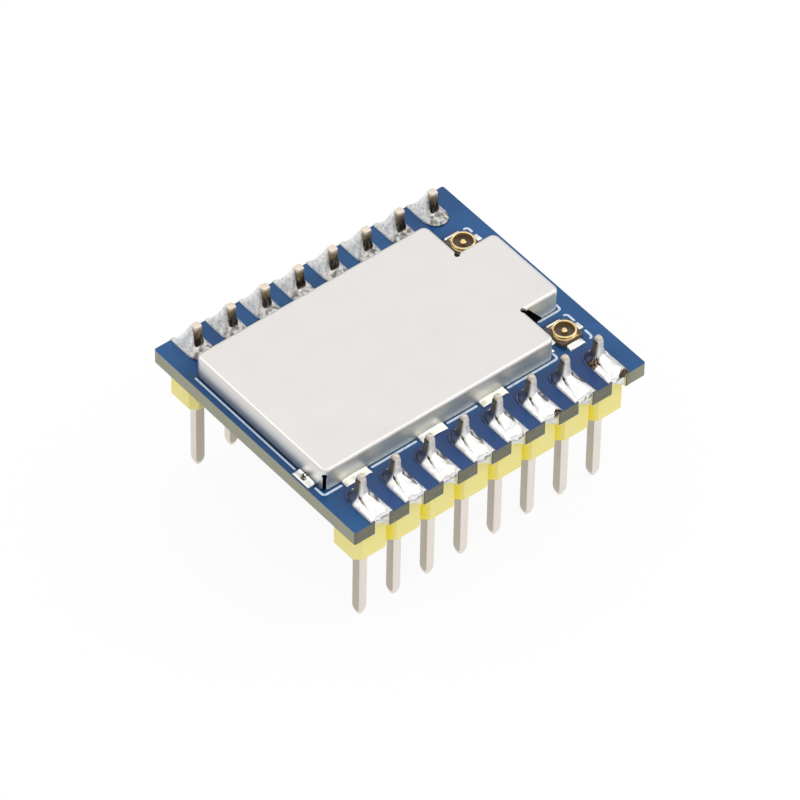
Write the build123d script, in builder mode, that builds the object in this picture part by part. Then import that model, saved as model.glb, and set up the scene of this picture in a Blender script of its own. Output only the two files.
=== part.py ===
"""A two-band radio module: a castellated board on two pin headers, with a folded shield can
over its circuit and two small coax connectors beside it.

All sizes are in millimetres. X runs along the header rows, Y from the near row to the far
row, and Z up. The origin is under the middle of the board, on the surface that the pin
points stand on.
"""

import os

from build123d import *

os.makedirs("parts", exist_ok=True)

# Header rows
pitch = 2.54
pins_per_row = 8
row_spacing = 15.24
pin_width = 0.64
pin_bevel = 0.07
pin_below_housing = 6.15
pin_above_board = 1.95
lower_point_length = 0.65
lower_shoulder_height = 0.2
lower_shoulder_width = 0.52
lower_point_width = 0.3
upper_taper_start = 1.25
upper_shoulder_depth = 0.9
upper_shoulder_width = 0.5
upper_bevel_depth = 0.08
upper_bevel_width = 0.46
upper_point_width = 0.34
housing_height = 2.6
housing_width = 2.5
groove_depth = 0.4

# Circuit board
board_thickness = 1.0
board_corner_radius = 0.15
end_margin = 2.03
near_margin = 1.98
far_margin = 1.48
pin_hole_radius = 0.56
notch_radius = 0.6
plating = 0.05
land_width = 1.62
land_reach_inward = 1.02

# Pin solder
solder_inset = 0.03
ridge_height_at_pin = 0.46
ridge_height_at_edge = 0.24
ridge_height_at_end = 0.1
cone_height = 0.62
cone_foot_radius = 0.68
cone_wall_at_pin = 0.15
notch_fill_depth = 0.4

# Shield can
can_sheet = 0.15
can_height = 1.64
can_bend_radius = 0.22
can_corner_radius = 0.45
can_left_inset = 0.62
coax_can_gap = 0.37
tongue_right_inset = 1.11
tongue_near_gap = 0.53
tongue_far_gap = 0.08
seam_width = 0.22
seam_hole_radius = 0.17
seam_below_can_top = 0.51
seam_cut_depth = 0.55
relief_width = 0.36
relief_inward_near = 0.0
relief_inward_far = 0.19
relief_outward = 0.6
wall_cut_start = 0.4
wall_cut_slant = 1.1
trace_gap_width = 0.9
trace_gap_height = 0.35

# Solder that holds the can
can_land_depth = 0.54
land_gap = 0.06
can_land_under_wall = 0.2
can_solder_climb = 0.25
can_solder_lip = 0.04
long_side_solder_length = 1.9
long_side_solder_places = (2.23, 7.87, 12.43)
left_solder_length = 1.5
left_solder_place = 1.53
right_solder_length = 0.5
right_solder_place = 0.6

# Coax connectors
coax_right_inset = 2.3
coax_side_inset = 4.69
coax_base_size = 1.66
coax_base_corner = 0.2
coax_base_height = 0.25
coax_floor_height = 0.15
coax_height = 0.52
coax_ring_radius = 0.75
coax_ring_wall = 0.13
coax_rim_height = 0.12
coax_groove_depth = 0.05
coax_contact_radius = 0.19
coax_contact_height = 0.46
coax_contact_bevel = 0.07
coax_metal_thickness = 0.1
coax_rim_bevel = 0.04
coax_foot_length = 0.93
coax_side_foot_width = 0.95
coax_end_foot_width = 0.5
coax_side_land_width = 1.16
coax_side_land_end = 1.33
coax_end_land_width = 0.6
coax_end_land_end = 1.26
coax_land_start = 0.75
coax_solder_height = 0.14
coax_solder_lip = 0.03

# Components under the can, each placed from the middle of the can
chip_size = (5.0, 5.0, 0.85)
chip_place = (-1.7, 0.4)
chip_corner = 0.35
chip_terminals_per_side = 8
chip_terminal_pitch = 0.5
chip_terminal_size = (0.24, 0.2)
oscillator_size = (2.5, 2.0, 0.75)
oscillator_place = (-5.9, -2.4)
oscillator_lid_inset = 0.25
oscillator_lid_height = 0.3
switch_size = (1.5, 1.1, 0.5)
switch_places = {"near": (6.2, -3.5), "far": (6.2, 2.8)}
switch_corner = 0.15
supply_coil_size = (2.0, 1.6, 0.9)
supply_coil_place = (-5.9, 3.0)
small_chip_size = (1.0, 0.5, 0.5)
terminal_length = 0.25
terminal_skin = 0.03
capacitor_places = [
    (-4.9, -0.8), (-4.9, 0.4), (-4.9, 1.6), (-2.9, -3.2), (-1.3, -3.2), (0.3, -3.2),
    (-1.7, 4.3), (-0.1, 4.3), (4.4, 3.7), (4.4, -4.2), (6.2, 0.4), (6.2, -0.7),
]
chip_coil_places = [
    (2.0, 2.1), (2.0, 0.9), (3.3, 2.7), (4.8, 2.5), (2.0, -0.8), (3.3, -1.8), (4.7, -3.1), (6.2, -1.8),
]

# Heights, from the pin points up
housing_bottom = pin_below_housing
housing_top = housing_bottom + housing_height
board_bottom = housing_top + plating
board_top = board_bottom + board_thickness
land_top = board_top + plating
pin_top = board_top + pin_above_board
can_top = board_top + can_height

# Places in plan
row_length = (pins_per_row - 1) * pitch
board_length = row_length + 2 * end_margin
board_width = near_margin + row_spacing + far_margin
board_left = -board_length / 2
board_right = board_length / 2
board_near = -board_width / 2
board_far = board_width / 2
near_row_y = board_near + near_margin
far_row_y = board_far - far_margin
pin_xs = [board_left + end_margin + n * pitch for n in range(pins_per_row)]

# Each row: its name, its line, its board edge, and the way from the line to that edge
rows = [("near", near_row_y, board_near, -1), ("far", far_row_y, board_far, 1)]

# Each coax connector: its name and centre
coax_x = board_right - coax_right_inset
coax_near_y = board_near + coax_side_inset
coax_far_y = board_far - coax_side_inset
coaxes = [("near", coax_near_y), ("far", coax_far_y)]

# The can fills what the lands of the pins and of the connectors leave
can_row_gap = land_reach_inward + land_gap + can_land_depth
can_left = board_left + can_left_inset
can_right = coax_x - coax_end_land_end - coax_can_gap
can_near = near_row_y + can_row_gap
can_far = far_row_y - can_row_gap
can_middle = ((can_left + can_right) / 2, (can_near + can_far) / 2)
tongue_right = board_right - tongue_right_inset
tongue_near = coax_near_y + coax_side_land_end + tongue_near_gap
tongue_far = coax_far_y - coax_side_land_end - tongue_far_gap


def finish(part, name):
    """Label a finished piece with its name and write it."""
    part.label = name
    export_step(part, f"parts/{name}.step")


def pin_section(width):
    """A header pin cut across: a square with bevelled corners, which keep their share of it."""
    with BuildSketch() as section:
        Rectangle(width, width)
        chamfer(section.vertices(), pin_bevel * width / pin_width)
    return section.sketch


def upright(x, y, z):
    """A plane across the rows: its X is the model's X, and its Y is up."""
    return Plane((x, y, z), x_dir=(1, 0, 0), z_dir=(0, -1, 0))


def facing_out(x, y, out_x, out_y):
    """An upright plane on the lands: its X runs outward from the point, and its Y is up."""
    return Plane((x, y, land_top), x_dir=(out_x, out_y, 0), z_dir=(out_y, -out_x, 0))


# Circuit board: a fibreglass panel, drilled for the pins and routed through the edge holes
with BuildPart() as circuit_board:
    with BuildSketch(Plane.XY.offset(board_bottom)):
        RectangleRounded(board_length, board_width, board_corner_radius)
        with Locations([(x, row_y) for _, row_y, _, _ in rows for x in pin_xs]):
            Circle(pin_hole_radius, mode=Mode.SUBTRACT)
        with Locations([(x, edge_y) for _, _, edge_y, _ in rows for x in pin_xs]):
            Circle(notch_radius, mode=Mode.SUBTRACT)
    extrude(amount=board_thickness)
finish(circuit_board.part, "circuit_board")


# Row lands: tinned copper on both faces, joined by the tin that fills each pin hole and by the
# plating of each half-hole
row_lands = {}
for side, row_y, edge_y, outward in rows:
    round_end_y = row_y - outward * (land_reach_inward - land_width / 2)
    inner_end_y = row_y - outward * land_reach_inward
    with BuildPart() as land:
        with BuildSketch(Plane.XY.offset(board_top)):
            with Locations((0, (edge_y + round_end_y) / 2)):
                Rectangle(land_width, abs(edge_y - round_end_y))
            with Locations((0, round_end_y)):
                Circle(land_width / 2)
            with Locations((0, edge_y)):
                Circle(notch_radius - plating, mode=Mode.SUBTRACT)
        extrude(amount=plating)
        with BuildSketch(Plane.XY.offset(housing_top)):
            with Locations((0, (edge_y + inner_end_y) / 2)):
                Rectangle(land_width, abs(edge_y - inner_end_y))
            with Locations((0, edge_y)):
                Circle(notch_radius - plating, mode=Mode.SUBTRACT)
        extrude(amount=plating)
        with BuildSketch(Plane.XY.offset(board_bottom)):
            with Locations((0, row_y)):
                Circle(pin_hole_radius)
            with Locations((0, edge_y)):
                Circle(notch_radius)
                Circle(notch_radius - plating, mode=Mode.SUBTRACT)
            with Locations((0, edge_y + outward * notch_radius)):
                Rectangle(2 * notch_radius, 2 * notch_radius, mode=Mode.SUBTRACT)
        extrude(amount=board_thickness)
        with BuildSketch(Plane.XY.offset(housing_top)):
            with Locations((0, row_y)):
                add(pin_section(pin_width))
        extrude(amount=land_top - housing_top, mode=Mode.SUBTRACT)
    row_lands[side] = land.part


def housing_points(row_y):
    """The outline of a row of octagonal cells, one round each pin, joined at the V-grooves."""
    half_pitch = pitch / 2
    half_width = housing_width / 2
    near_side = []
    for x in pin_xs:
        near_side.append((x - half_pitch, row_y - half_width + groove_depth))
        near_side.append((x - half_pitch + groove_depth, row_y - half_width))
        near_side.append((x + half_pitch - groove_depth, row_y - half_width))
    near_side.append((pin_xs[-1] + half_pitch, row_y - half_width + groove_depth))
    return near_side + [(x, 2 * row_y - y) for x, y in reversed(near_side)]


# Header housings: moulded strips under the board, pierced by the pins
for side, row_y, edge_y, outward in rows:
    with BuildPart() as header_housing:
        with BuildSketch(Plane.XY.offset(housing_bottom)):
            with BuildLine():
                Polyline(*housing_points(row_y), close=True)
            make_face()
            with Locations([(x, row_y) for x in pin_xs]):
                add(pin_section(pin_width), mode=Mode.SUBTRACT)
        extrude(amount=housing_height)
    finish(header_housing.part, f"header_housing_{side}")


# Header pins: square wire with bevelled edges, coined to a blunt point at each end
pin_stages = [
    (0, lower_point_width),
    (lower_shoulder_height, lower_shoulder_width),
    (lower_point_length, pin_width),
    (pin_top - upper_taper_start, pin_width),
    (pin_top - upper_shoulder_depth, upper_shoulder_width),
    (pin_top - upper_bevel_depth, upper_bevel_width),
    (pin_top, upper_point_width),
]
with BuildPart() as header_pin:
    for (low_z, low_width), (high_z, high_width) in zip(pin_stages, pin_stages[1:]):
        with BuildSketch(Plane.XY.offset(low_z)):
            add(pin_section(low_width))
        with BuildSketch(Plane.XY.offset(high_z)):
            add(pin_section(high_width))
        loft(ruled=True)

for side, row_y, edge_y, outward in rows:
    for number, x in enumerate(pin_xs, start=1):
        finish(Pos(x, row_y, 0) * header_pin.part, f"header_pin_{side}_{number}")


# Pin solder joints: what the land's outline, the low roof across it and the slopes along it
# leave in common, with a cone that climbs the pin and the solder that hangs in the half-hole
for side, row_y, edge_y, outward in rows:
    half_width = land_width / 2 - solder_inset
    reach = abs(edge_y - row_y) - solder_inset
    round_end_y = row_y - outward * (land_reach_inward - land_width / 2)
    with BuildPart() as solder_joint:
        with BuildSketch(Plane.XY.offset(land_top)):
            with Locations((0, row_y + outward * reach / 2)):
                Rectangle(2 * half_width, reach)
            with Locations((0, (row_y + round_end_y) / 2)):
                Rectangle(2 * half_width, abs(row_y - round_end_y))
            with Locations((0, round_end_y)):
                Circle(half_width)
        extrude(amount=ridge_height_at_pin)
        with BuildSketch(upright(0, row_y, land_top)):
            with BuildLine():
                Polyline(
                    (-half_width, 0),
                    (-half_width / 2, ridge_height_at_pin * 3 / 4),
                    (0, ridge_height_at_pin),
                    (half_width / 2, ridge_height_at_pin * 3 / 4),
                    (half_width, 0),
                    close=True,
                )
            make_face()
        extrude(amount=2 * reach, both=True, mode=Mode.INTERSECT)
        with BuildSketch(facing_out(0, row_y, 0, outward)):
            with BuildLine():
                Polyline(
                    (-land_reach_inward, 0),
                    (-land_reach_inward, ridge_height_at_end),
                    (-cone_foot_radius, ridge_height_at_pin),
                    (cone_foot_radius, ridge_height_at_pin),
                    (reach, ridge_height_at_edge),
                    (reach, 0),
                    close=True,
                )
            make_face()
        extrude(amount=land_width, both=True, mode=Mode.INTERSECT)
        with BuildSketch(Plane((0, row_y, land_top))):
            RegularPolygon(cone_foot_radius, 8)
        with BuildSketch(Plane((0, row_y, land_top + cone_height))):
            RegularPolygon(pin_width / 2 + cone_wall_at_pin, 8)
        loft(ruled=True)
        with BuildSketch(Plane((0, edge_y, land_top - notch_fill_depth))):
            Circle(notch_radius - plating)
            with Locations((0, outward * notch_radius)):
                Rectangle(2 * notch_radius, 2 * notch_radius, mode=Mode.SUBTRACT)
        extrude(amount=notch_fill_depth)
        with BuildSketch(Plane((0, row_y, land_top))):
            add(pin_section(pin_width))
        extrude(amount=pin_above_board, mode=Mode.SUBTRACT)
    for number, x in enumerate(pin_xs, start=1):
        finish(Pos(x, 0, 0) * solder_joint.part, f"solder_joint_{side}_{number}")


def can_plan(inset):
    """The can from above, with its tongue between the connectors, shrunk by the inset."""
    with BuildSketch() as plan:
        with Locations(can_middle):
            RectangleRounded(
                can_right - can_left - 2 * inset,
                can_far - can_near - 2 * inset,
                can_corner_radius - inset,
            )
        with Locations((can_right - inset, (tongue_near + tongue_far) / 2)):
            RectangleRounded(
                2 * (tongue_right - can_right),
                tongue_far - tongue_near - 2 * inset,
                can_corner_radius - inset,
            )
    return plan.sketch


# The hollow of the can: its own form, a sheet's thickness in from every side
with BuildPart() as can_inside:
    with BuildSketch(Plane.XY.offset(land_top)):
        add(can_plan(can_sheet))
    extrude(amount=can_top - can_sheet - land_top)
    fillet(can_inside.faces().sort_by(Axis.Z)[-1].edges(), can_bend_radius - can_sheet)

# The can's outside corners, each with the way out along its diagonal
seam_corners = [
    (can_left, can_near, -1, -1),
    (can_right, can_near, 1, -1),
    (tongue_right, tongue_near, 1, -1),
    (tongue_right, tongue_far, 1, 1),
    (can_right, can_far, 1, 1),
    (can_left, can_far, -1, 1),
]
seam_top = can_top - seam_below_can_top
wall_cut_top = can_top - can_bend_radius

# Shield can: one folded sheet, bent over all round the top. Its walls meet at open seams, a
# relief slot frees each inside corner, and the tongue's walls are cut clear of the bend there
with BuildPart() as shield_can:
    with BuildSketch(Plane.XY.offset(land_top)):
        add(can_plan(0))
    extrude(amount=can_top - land_top)
    fillet(shield_can.faces().sort_by(Axis.Z)[-1].edges(), can_bend_radius)
    add(can_inside.part, mode=Mode.SUBTRACT)
    for x, y, out_x, out_y in seam_corners:
        with BuildSketch(Plane((x, y, 0), x_dir=(-out_y, out_x, 0), z_dir=(out_x, out_y, 0))):
            with Locations((0, seam_top / 2)):
                Rectangle(seam_width, seam_top)
            with Locations((0, seam_top)):
                Circle(seam_hole_radius)
        extrude(amount=seam_cut_depth, both=True, mode=Mode.SUBTRACT)
    for corner_y, out_y, relief_inward in (
        (tongue_near, -1, relief_inward_near),
        (tongue_far, 1, relief_inward_far),
    ):
        with BuildSketch(Plane.XY):
            with Locations(Location((can_right, corner_y, 0), (0, 0, 45 * out_y))):
                with Locations(((relief_outward - relief_inward) / 2, 0)):
                    SlotCenterToCenter(relief_outward + relief_inward, relief_width)
        extrude(amount=can_top, mode=Mode.SUBTRACT)
        with BuildSketch(upright(can_right, corner_y - out_y * 2 * can_sheet, 0)):
            with BuildLine():
                Polyline(
                    (0, 0),
                    (wall_cut_start + wall_cut_slant, 0),
                    (wall_cut_start + wall_cut_slant, land_top),
                    (wall_cut_start, wall_cut_top),
                    (0, wall_cut_top),
                    close=True,
                )
            make_face()
        extrude(amount=-out_y * 3 * can_sheet, mode=Mode.SUBTRACT)
    for _, connector_y in coaxes:
        with Locations((can_right, connector_y, land_top)):
            Box(2 * can_sheet + can_bend_radius, trace_gap_width, 2 * trace_gap_height, mode=Mode.SUBTRACT)
finish(shield_can.part, "shield_can")

# Each joint that holds the can: name, middle of its foot, way out from the wall, length, depth
can_joints = []
for wall, wall_y, outward in (("near", can_near, -1), ("far", can_far, 1)):
    for number, place in enumerate(long_side_solder_places, start=1):
        joint = (f"{wall}_{number}", can_left + place, wall_y, 0, outward, long_side_solder_length)
        can_joints.append(joint)
can_joints.append(("left", can_left, can_near + left_solder_place, -1, 0, left_solder_length))
can_joints.append(("right", can_right, can_near + right_solder_place, 1, 0, right_solder_length))


def can_joint_depth(name):
    """How far a joint reaches out from the wall: less beside the near connector."""
    return can_land_depth if name != "right" else coax_can_gap - land_gap


# Can solder: a hollow fillet from the land up the outside of the wall
for name, x, y, out_x, out_y, length in can_joints:
    with BuildPart() as can_solder:
        with BuildSketch(facing_out(x, y, out_x, out_y)):
            with BuildLine():
                depth = can_joint_depth(name)
                Polyline(
                    (depth, can_solder_lip),
                    (depth, 0),
                    (0, 0),
                    (0, can_solder_climb),
                    (can_solder_lip, can_solder_climb),
                )
                ThreePointArc(
                    (can_solder_lip, can_solder_climb),
                    (depth * 0.3, can_solder_climb * 0.3),
                    (depth, can_solder_lip),
                )
            make_face()
        extrude(amount=length / 2, both=True)
    finish(can_solder.part, f"can_solder_{name}")


# Surface lands: thin tinned pads under the can's joints and the connectors' feet
with BuildPart() as surface_lands:
    with BuildSketch(Plane.XY.offset(board_top)):
        for name, x, y, out_x, out_y, length in can_joints:
            depth = can_joint_depth(name) + can_land_under_wall
            middle = depth / 2 - can_land_under_wall
            with Locations((x + out_x * middle, y + out_y * middle)):
                Rectangle(depth if out_x else length, depth if out_y else length)
        side_depth = coax_side_land_end - coax_land_start
        end_depth = coax_end_land_end - coax_land_start
        for _, y in coaxes:
            side_offset = coax_land_start + side_depth / 2
            with Locations((coax_x, y - side_offset), (coax_x, y + side_offset)):
                Rectangle(coax_side_land_width, side_depth)
            end_offset = coax_land_start + end_depth / 2
            with Locations((coax_x - end_offset, y), (coax_x + end_offset, y)):
                Rectangle(end_depth, coax_end_land_width)
    extrude(amount=plating)

with BuildPart() as plated_lands:
    for land_here in row_lands.values():
        with Locations([(x, 0, 0) for x in pin_xs]):
            add(land_here)
    add(surface_lands.part)
finish(plated_lands.part, "plated_lands")


# Ways out of a connector: the shell's feet stand on both sides and at the right end, and the
# contact's tail leaves towards the can. Each has its way, foot width, land width and land end
coax_sides = [
    (0, -1, coax_side_foot_width, coax_side_land_width, coax_side_land_end),
    (0, 1, coax_side_foot_width, coax_side_land_width, coax_side_land_end),
    (1, 0, coax_end_foot_width, coax_end_land_width, coax_end_land_end),
]
coax_tail = (-1, 0, coax_end_foot_width, coax_end_land_width, coax_end_land_end)
ring_inside = coax_ring_radius - coax_ring_wall
groove_radius = coax_ring_radius - coax_groove_depth
rim_bottom = coax_height - coax_rim_height

for side, y in coaxes:
    # Coax shell: a gold ring with a snap groove under its rim, and three feet bent out below
    with BuildPart() as coax_shell:
        with BuildSketch(upright(coax_x, y, land_top)):
            with BuildLine():
                Polyline(
                    (ring_inside, coax_floor_height),
                    (coax_ring_radius, coax_floor_height),
                    (coax_ring_radius, coax_base_height),
                    (groove_radius, coax_base_height + coax_groove_depth),
                    (groove_radius, rim_bottom - coax_groove_depth),
                    (coax_ring_radius, rim_bottom),
                    (coax_ring_radius, coax_height - coax_rim_bevel),
                    (coax_ring_radius - coax_rim_bevel, coax_height),
                    (ring_inside + coax_rim_bevel, coax_height),
                    (ring_inside, coax_height - coax_rim_bevel),
                    close=True,
                )
            make_face()
        revolve(axis=Axis((coax_x, y, land_top), (0, 0, 1)))
        for out_x, out_y, foot_width, _, _ in coax_sides:
            with BuildSketch(facing_out(coax_x, y, out_x, out_y)):
                with BuildLine():
                    Polyline(
                        (ring_inside, 0),
                        (coax_foot_length, 0),
                        (coax_foot_length, coax_metal_thickness),
                        (coax_ring_radius, coax_metal_thickness),
                        (coax_ring_radius, coax_base_height),
                        (ring_inside, coax_base_height),
                        close=True,
                    )
                make_face()
            extrude(amount=foot_width / 2, both=True)
        with BuildSketch(Plane.XY.offset(land_top + coax_floor_height)):
            with Locations((coax_x, y)):
                Circle(ring_inside)
        extrude(amount=coax_height, mode=Mode.SUBTRACT)
    finish(coax_shell.part, f"coax_shell_{side}")

    # Coax contact: a bevelled post, with its tail flat on the land
    with BuildPart() as coax_contact:
        with BuildSketch(Plane.XY.offset(land_top)):
            with Locations((coax_x, y)):
                Circle(coax_contact_radius)
        extrude(amount=coax_contact_height)
        chamfer(coax_contact.faces().sort_by(Axis.Z)[-1].edges(), coax_contact_bevel)
        with BuildSketch(facing_out(coax_x, y, coax_tail[0], coax_tail[1])):
            with Locations((coax_foot_length / 2, coax_metal_thickness / 2)):
                Rectangle(coax_foot_length, coax_metal_thickness)
        extrude(amount=coax_tail[2] / 2, both=True)
    finish(coax_contact.part, f"coax_contact_{side}")

    # Coax base: the dark moulding that holds shell and contact, with a well inside the ring
    with BuildPart() as coax_base:
        with BuildSketch(Plane.XY.offset(land_top)):
            with Locations((coax_x, y)):
                RectangleRounded(coax_base_size, coax_base_size, coax_base_corner)
        extrude(amount=coax_base_height)
        with BuildSketch(Plane.XY.offset(land_top + coax_floor_height)):
            with Locations((coax_x, y)):
                Circle(coax_ring_radius)
        extrude(amount=coax_base_height, mode=Mode.SUBTRACT)
        add(coax_shell.part, mode=Mode.SUBTRACT)
        add(coax_contact.part, mode=Mode.SUBTRACT)
    finish(coax_base.part, f"coax_base_{side}")

    # Coax solder: a fillet from the end of each foot down to the end of its land
    with BuildPart() as coax_solder:
        for out_x, out_y, _, solder_width, land_end in coax_sides + [coax_tail]:
            reach = land_end - coax_foot_length
            foot_x = coax_x + out_x * coax_foot_length
            foot_y = y + out_y * coax_foot_length
            with BuildSketch(facing_out(foot_x, foot_y, out_x, out_y)):
                with BuildLine():
                    Polyline(
                        (reach, coax_solder_lip),
                        (reach, 0),
                        (0, 0),
                        (0, coax_solder_height),
                        (reach / 3, coax_solder_height / 2),
                        close=True,
                    )
                make_face()
            extrude(amount=solder_width / 2, both=True)
    finish(coax_solder.part, f"coax_solder_{side}")


def under_can(place, z=board_top):
    """The location of a component whose place is given from the middle of the can."""
    return Location((can_middle[0] + place[0], can_middle[1] + place[1], z))


# Transceiver chip: a flat square package with one cut corner and its terminals along four sides
terminal_width, terminal_height = chip_terminal_size
with BuildPart() as transceiver_chip:
    with Locations(under_can(chip_place)):
        Box(*chip_size, align=(Align.CENTER, Align.CENTER, Align.MIN))
    chamfer(transceiver_chip.edges().filter_by(Axis.Z).group_by(Axis.X)[0][0], chip_corner)
    with Locations(under_can(chip_place)):
        terminals_reach = chip_size[0] + 2 * terminal_skin
        terminals_middle = terminal_height / 2
        with GridLocations(0, chip_terminal_pitch, 1, chip_terminals_per_side):
            with Locations((0, 0, terminals_middle)):
                Box(terminals_reach, terminal_width, terminal_height)
        with GridLocations(chip_terminal_pitch, 0, chip_terminals_per_side, 1):
            with Locations((0, 0, terminals_middle)):
                Box(terminal_width, terminals_reach, terminal_height)
finish(transceiver_chip.part, "transceiver_chip")


# Reference oscillator: a ceramic tray with a metal lid
with BuildPart() as reference_oscillator:
    length, width, height = oscillator_size
    with Locations(under_can(oscillator_place)):
        Box(length, width, height - oscillator_lid_height, align=(Align.CENTER, Align.CENTER, Align.MIN))
    with Locations(under_can(oscillator_place, board_top + height - oscillator_lid_height)):
        Box(
            length - 2 * oscillator_lid_inset,
            width - 2 * oscillator_lid_inset,
            oscillator_lid_height,
            align=(Align.CENTER, Align.CENTER, Align.MIN),
        )
finish(reference_oscillator.part, "reference_oscillator")


# Antenna switches: one small package behind each connector
for side, place in switch_places.items():
    with BuildPart() as antenna_switch:
        with Locations(under_can(place)):
            Box(*switch_size, align=(Align.CENTER, Align.CENTER, Align.MIN))
        fillet(antenna_switch.edges().filter_by(Axis.Z), switch_corner)
    finish(antenna_switch.part, f"antenna_switch_{side}")


def end_capped(size):
    """A chip component: a plain body with a slightly thicker metal cap on each end."""
    length, width, height = size
    with BuildPart() as component:
        Box(length, width, height, align=(Align.CENTER, Align.CENTER, Align.MIN))
        with Locations((-(length - terminal_length) / 2, 0), ((length - terminal_length) / 2, 0)):
            Box(
                terminal_length,
                width + 2 * terminal_skin,
                height + terminal_skin,
                align=(Align.CENTER, Align.CENTER, Align.MIN),
            )
    return component.part


finish(under_can(supply_coil_place) * end_capped(supply_coil_size), "supply_coil")

for name, places in (("chip_capacitors", capacitor_places), ("chip_coils", chip_coil_places)):
    with BuildPart() as small_chips:
        with Locations([under_can(place) for place in places]):
            add(end_capped(small_chip_size))
    finish(small_chips.part, name)
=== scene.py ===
"""Looks for the two-band radio module: a blue board on yellow pin headers, with a folded metal
can, hand-soldered pins and two gold coax connectors, on a pale floor in soft light."""

import math

import bpy
import numpy as np
from mathutils import Matrix, Vector


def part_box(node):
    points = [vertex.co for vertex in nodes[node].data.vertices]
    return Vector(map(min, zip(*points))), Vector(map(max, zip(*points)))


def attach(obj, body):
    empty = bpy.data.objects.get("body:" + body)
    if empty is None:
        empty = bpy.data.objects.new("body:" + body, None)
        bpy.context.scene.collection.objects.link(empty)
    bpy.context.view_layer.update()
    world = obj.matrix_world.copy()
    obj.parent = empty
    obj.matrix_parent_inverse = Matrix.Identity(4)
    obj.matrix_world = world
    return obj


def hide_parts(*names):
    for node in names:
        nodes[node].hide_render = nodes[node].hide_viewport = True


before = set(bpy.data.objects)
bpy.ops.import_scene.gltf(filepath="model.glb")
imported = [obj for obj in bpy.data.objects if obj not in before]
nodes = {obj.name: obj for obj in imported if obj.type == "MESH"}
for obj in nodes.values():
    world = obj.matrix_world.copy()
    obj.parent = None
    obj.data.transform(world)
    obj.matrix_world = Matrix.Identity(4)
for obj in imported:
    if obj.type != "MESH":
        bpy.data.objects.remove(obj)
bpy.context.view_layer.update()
mm = 0.001


# Camera. A long lens looks down on the module's near left corner. Its place, turn and lens
# come from fitting the pins, the board and the can to the picture.
camera_aim = Vector((-2.233, -2.759, 9.80)) * mm
camera_distance = 440.58 * mm
camera_azimuth = math.radians(39.98)
camera_elevation = math.radians(46.336)
camera_roll = math.radians(1.146)
sensor_width_mm = 36
focal_length_mm = 341.3

forward = Vector((
    math.sin(camera_azimuth) * math.cos(camera_elevation),
    math.cos(camera_azimuth) * math.cos(camera_elevation),
    -math.sin(camera_elevation),
))
level_right = Vector((math.cos(camera_azimuth), -math.sin(camera_azimuth), 0))
level_up = level_right.cross(forward)
right = level_right * math.cos(camera_roll) + level_up * math.sin(camera_roll)
up = level_up * math.cos(camera_roll) - level_right * math.sin(camera_roll)

lens = bpy.data.cameras.new("lens")
lens.sensor_width = sensor_width_mm
lens.lens = focal_length_mm
lens.clip_start = 0.01
lens.clip_end = 20
camera = bpy.data.objects.new("camera", lens)
turn = Matrix((right, up, -forward)).transposed().to_4x4()
camera.matrix_world = Matrix.Translation(camera_aim - forward * camera_distance) @ turn
bpy.context.scene.collection.objects.link(camera)
bpy.context.scene.camera = camera
bpy.context.scene.view_settings.view_transform = "Standard"


# Light and floor. A pale studio: an even sky, one large soft lamp from the right and one from
# behind, and a white floor that shows white and keeps the module's faint shadow.
class Wire:
    """A shader socket. Its operators add Math nodes, so that a pattern reads as a formula."""

    def __init__(self, home, socket):
        self.home = home
        self.socket = socket

    def maths(self, operation, first, second=0.0):
        return self.home.node("ShaderNodeMath", {"operation": operation}, {0: first, 1: second})

    def __add__(self, other):
        return self.maths("ADD", self, other)

    def __radd__(self, other):
        return self.maths("ADD", other, self)

    def __sub__(self, other):
        return self.maths("SUBTRACT", self, other)

    def __rsub__(self, other):
        return self.maths("SUBTRACT", other, self)

    def __mul__(self, other):
        return self.maths("MULTIPLY", self, other)

    def __rmul__(self, other):
        return self.maths("MULTIPLY", other, self)

    def __abs__(self):
        return self.maths("ABSOLUTE", self)

    def ramp(self, low, high):
        """0 on low's side, 1 on high's side and a smooth passage between them."""
        inputs = {"Value": self, "From Min": low, "From Max": high, "To Min": 0.0, "To Max": 1.0}
        return self.home.node("ShaderNodeMapRange", {"interpolation_type": "SMOOTHSTEP"}, inputs)

    def within(self, low, high, blur):
        """1 from low to high and 0 outside, each end blurred to both sides."""
        return self.ramp(low - blur, low + blur) * self.ramp(high + blur, high - blur)

    def wrapped(self, span):
        """The signed distance from the nearest odd multiple of half the span."""
        inputs = {0: self - span / 2, 1: span / 2, 2: -span / 2}
        return self.home.node("ShaderNodeMath", {"operation": "WRAP"}, inputs)

    def axis(self, name):
        """The X, Y or Z of a vector."""
        return self.home.node("ShaderNodeSeparateXYZ", {}, {"Vector": self}, name)


class Nodes:
    """A node tree in the making. Its patterns and mixed shaders come from node()."""

    def __init__(self, tree):
        self.tree = tree
        self.tree.nodes.clear()

    def node(self, kind, settings, inputs, output=0):
        """Adds a node, sets it up, feeds its sockets and gives one of its outputs."""
        node = self.tree.nodes.new(kind)
        for name, value in settings.items():
            setattr(node, name, value)
        for key, value in inputs.items():
            if isinstance(value, Wire):
                self.tree.links.new(value.socket, node.inputs[key])
            else:
                node.inputs[key].default_value = value
        return Wire(self, node.outputs[output])

    def show(self, surface, output_kind):
        """Links a shader to a new output node."""
        output = self.tree.nodes.new(output_kind)
        self.tree.links.new(surface.socket, output.inputs["Surface"])


white = (1, 1, 1, 1)
sky_at_horizon = 0.6
sky_overhead = 1.18
sky_rise_start = -0.1
floor_size = 1.6
floor_grey = (0.9, 0.9, 0.9, 1)
floor_white_share = 0.92
lamp_aim = Vector((0, 0, 0.01))
lamp_size = 0.5

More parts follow.
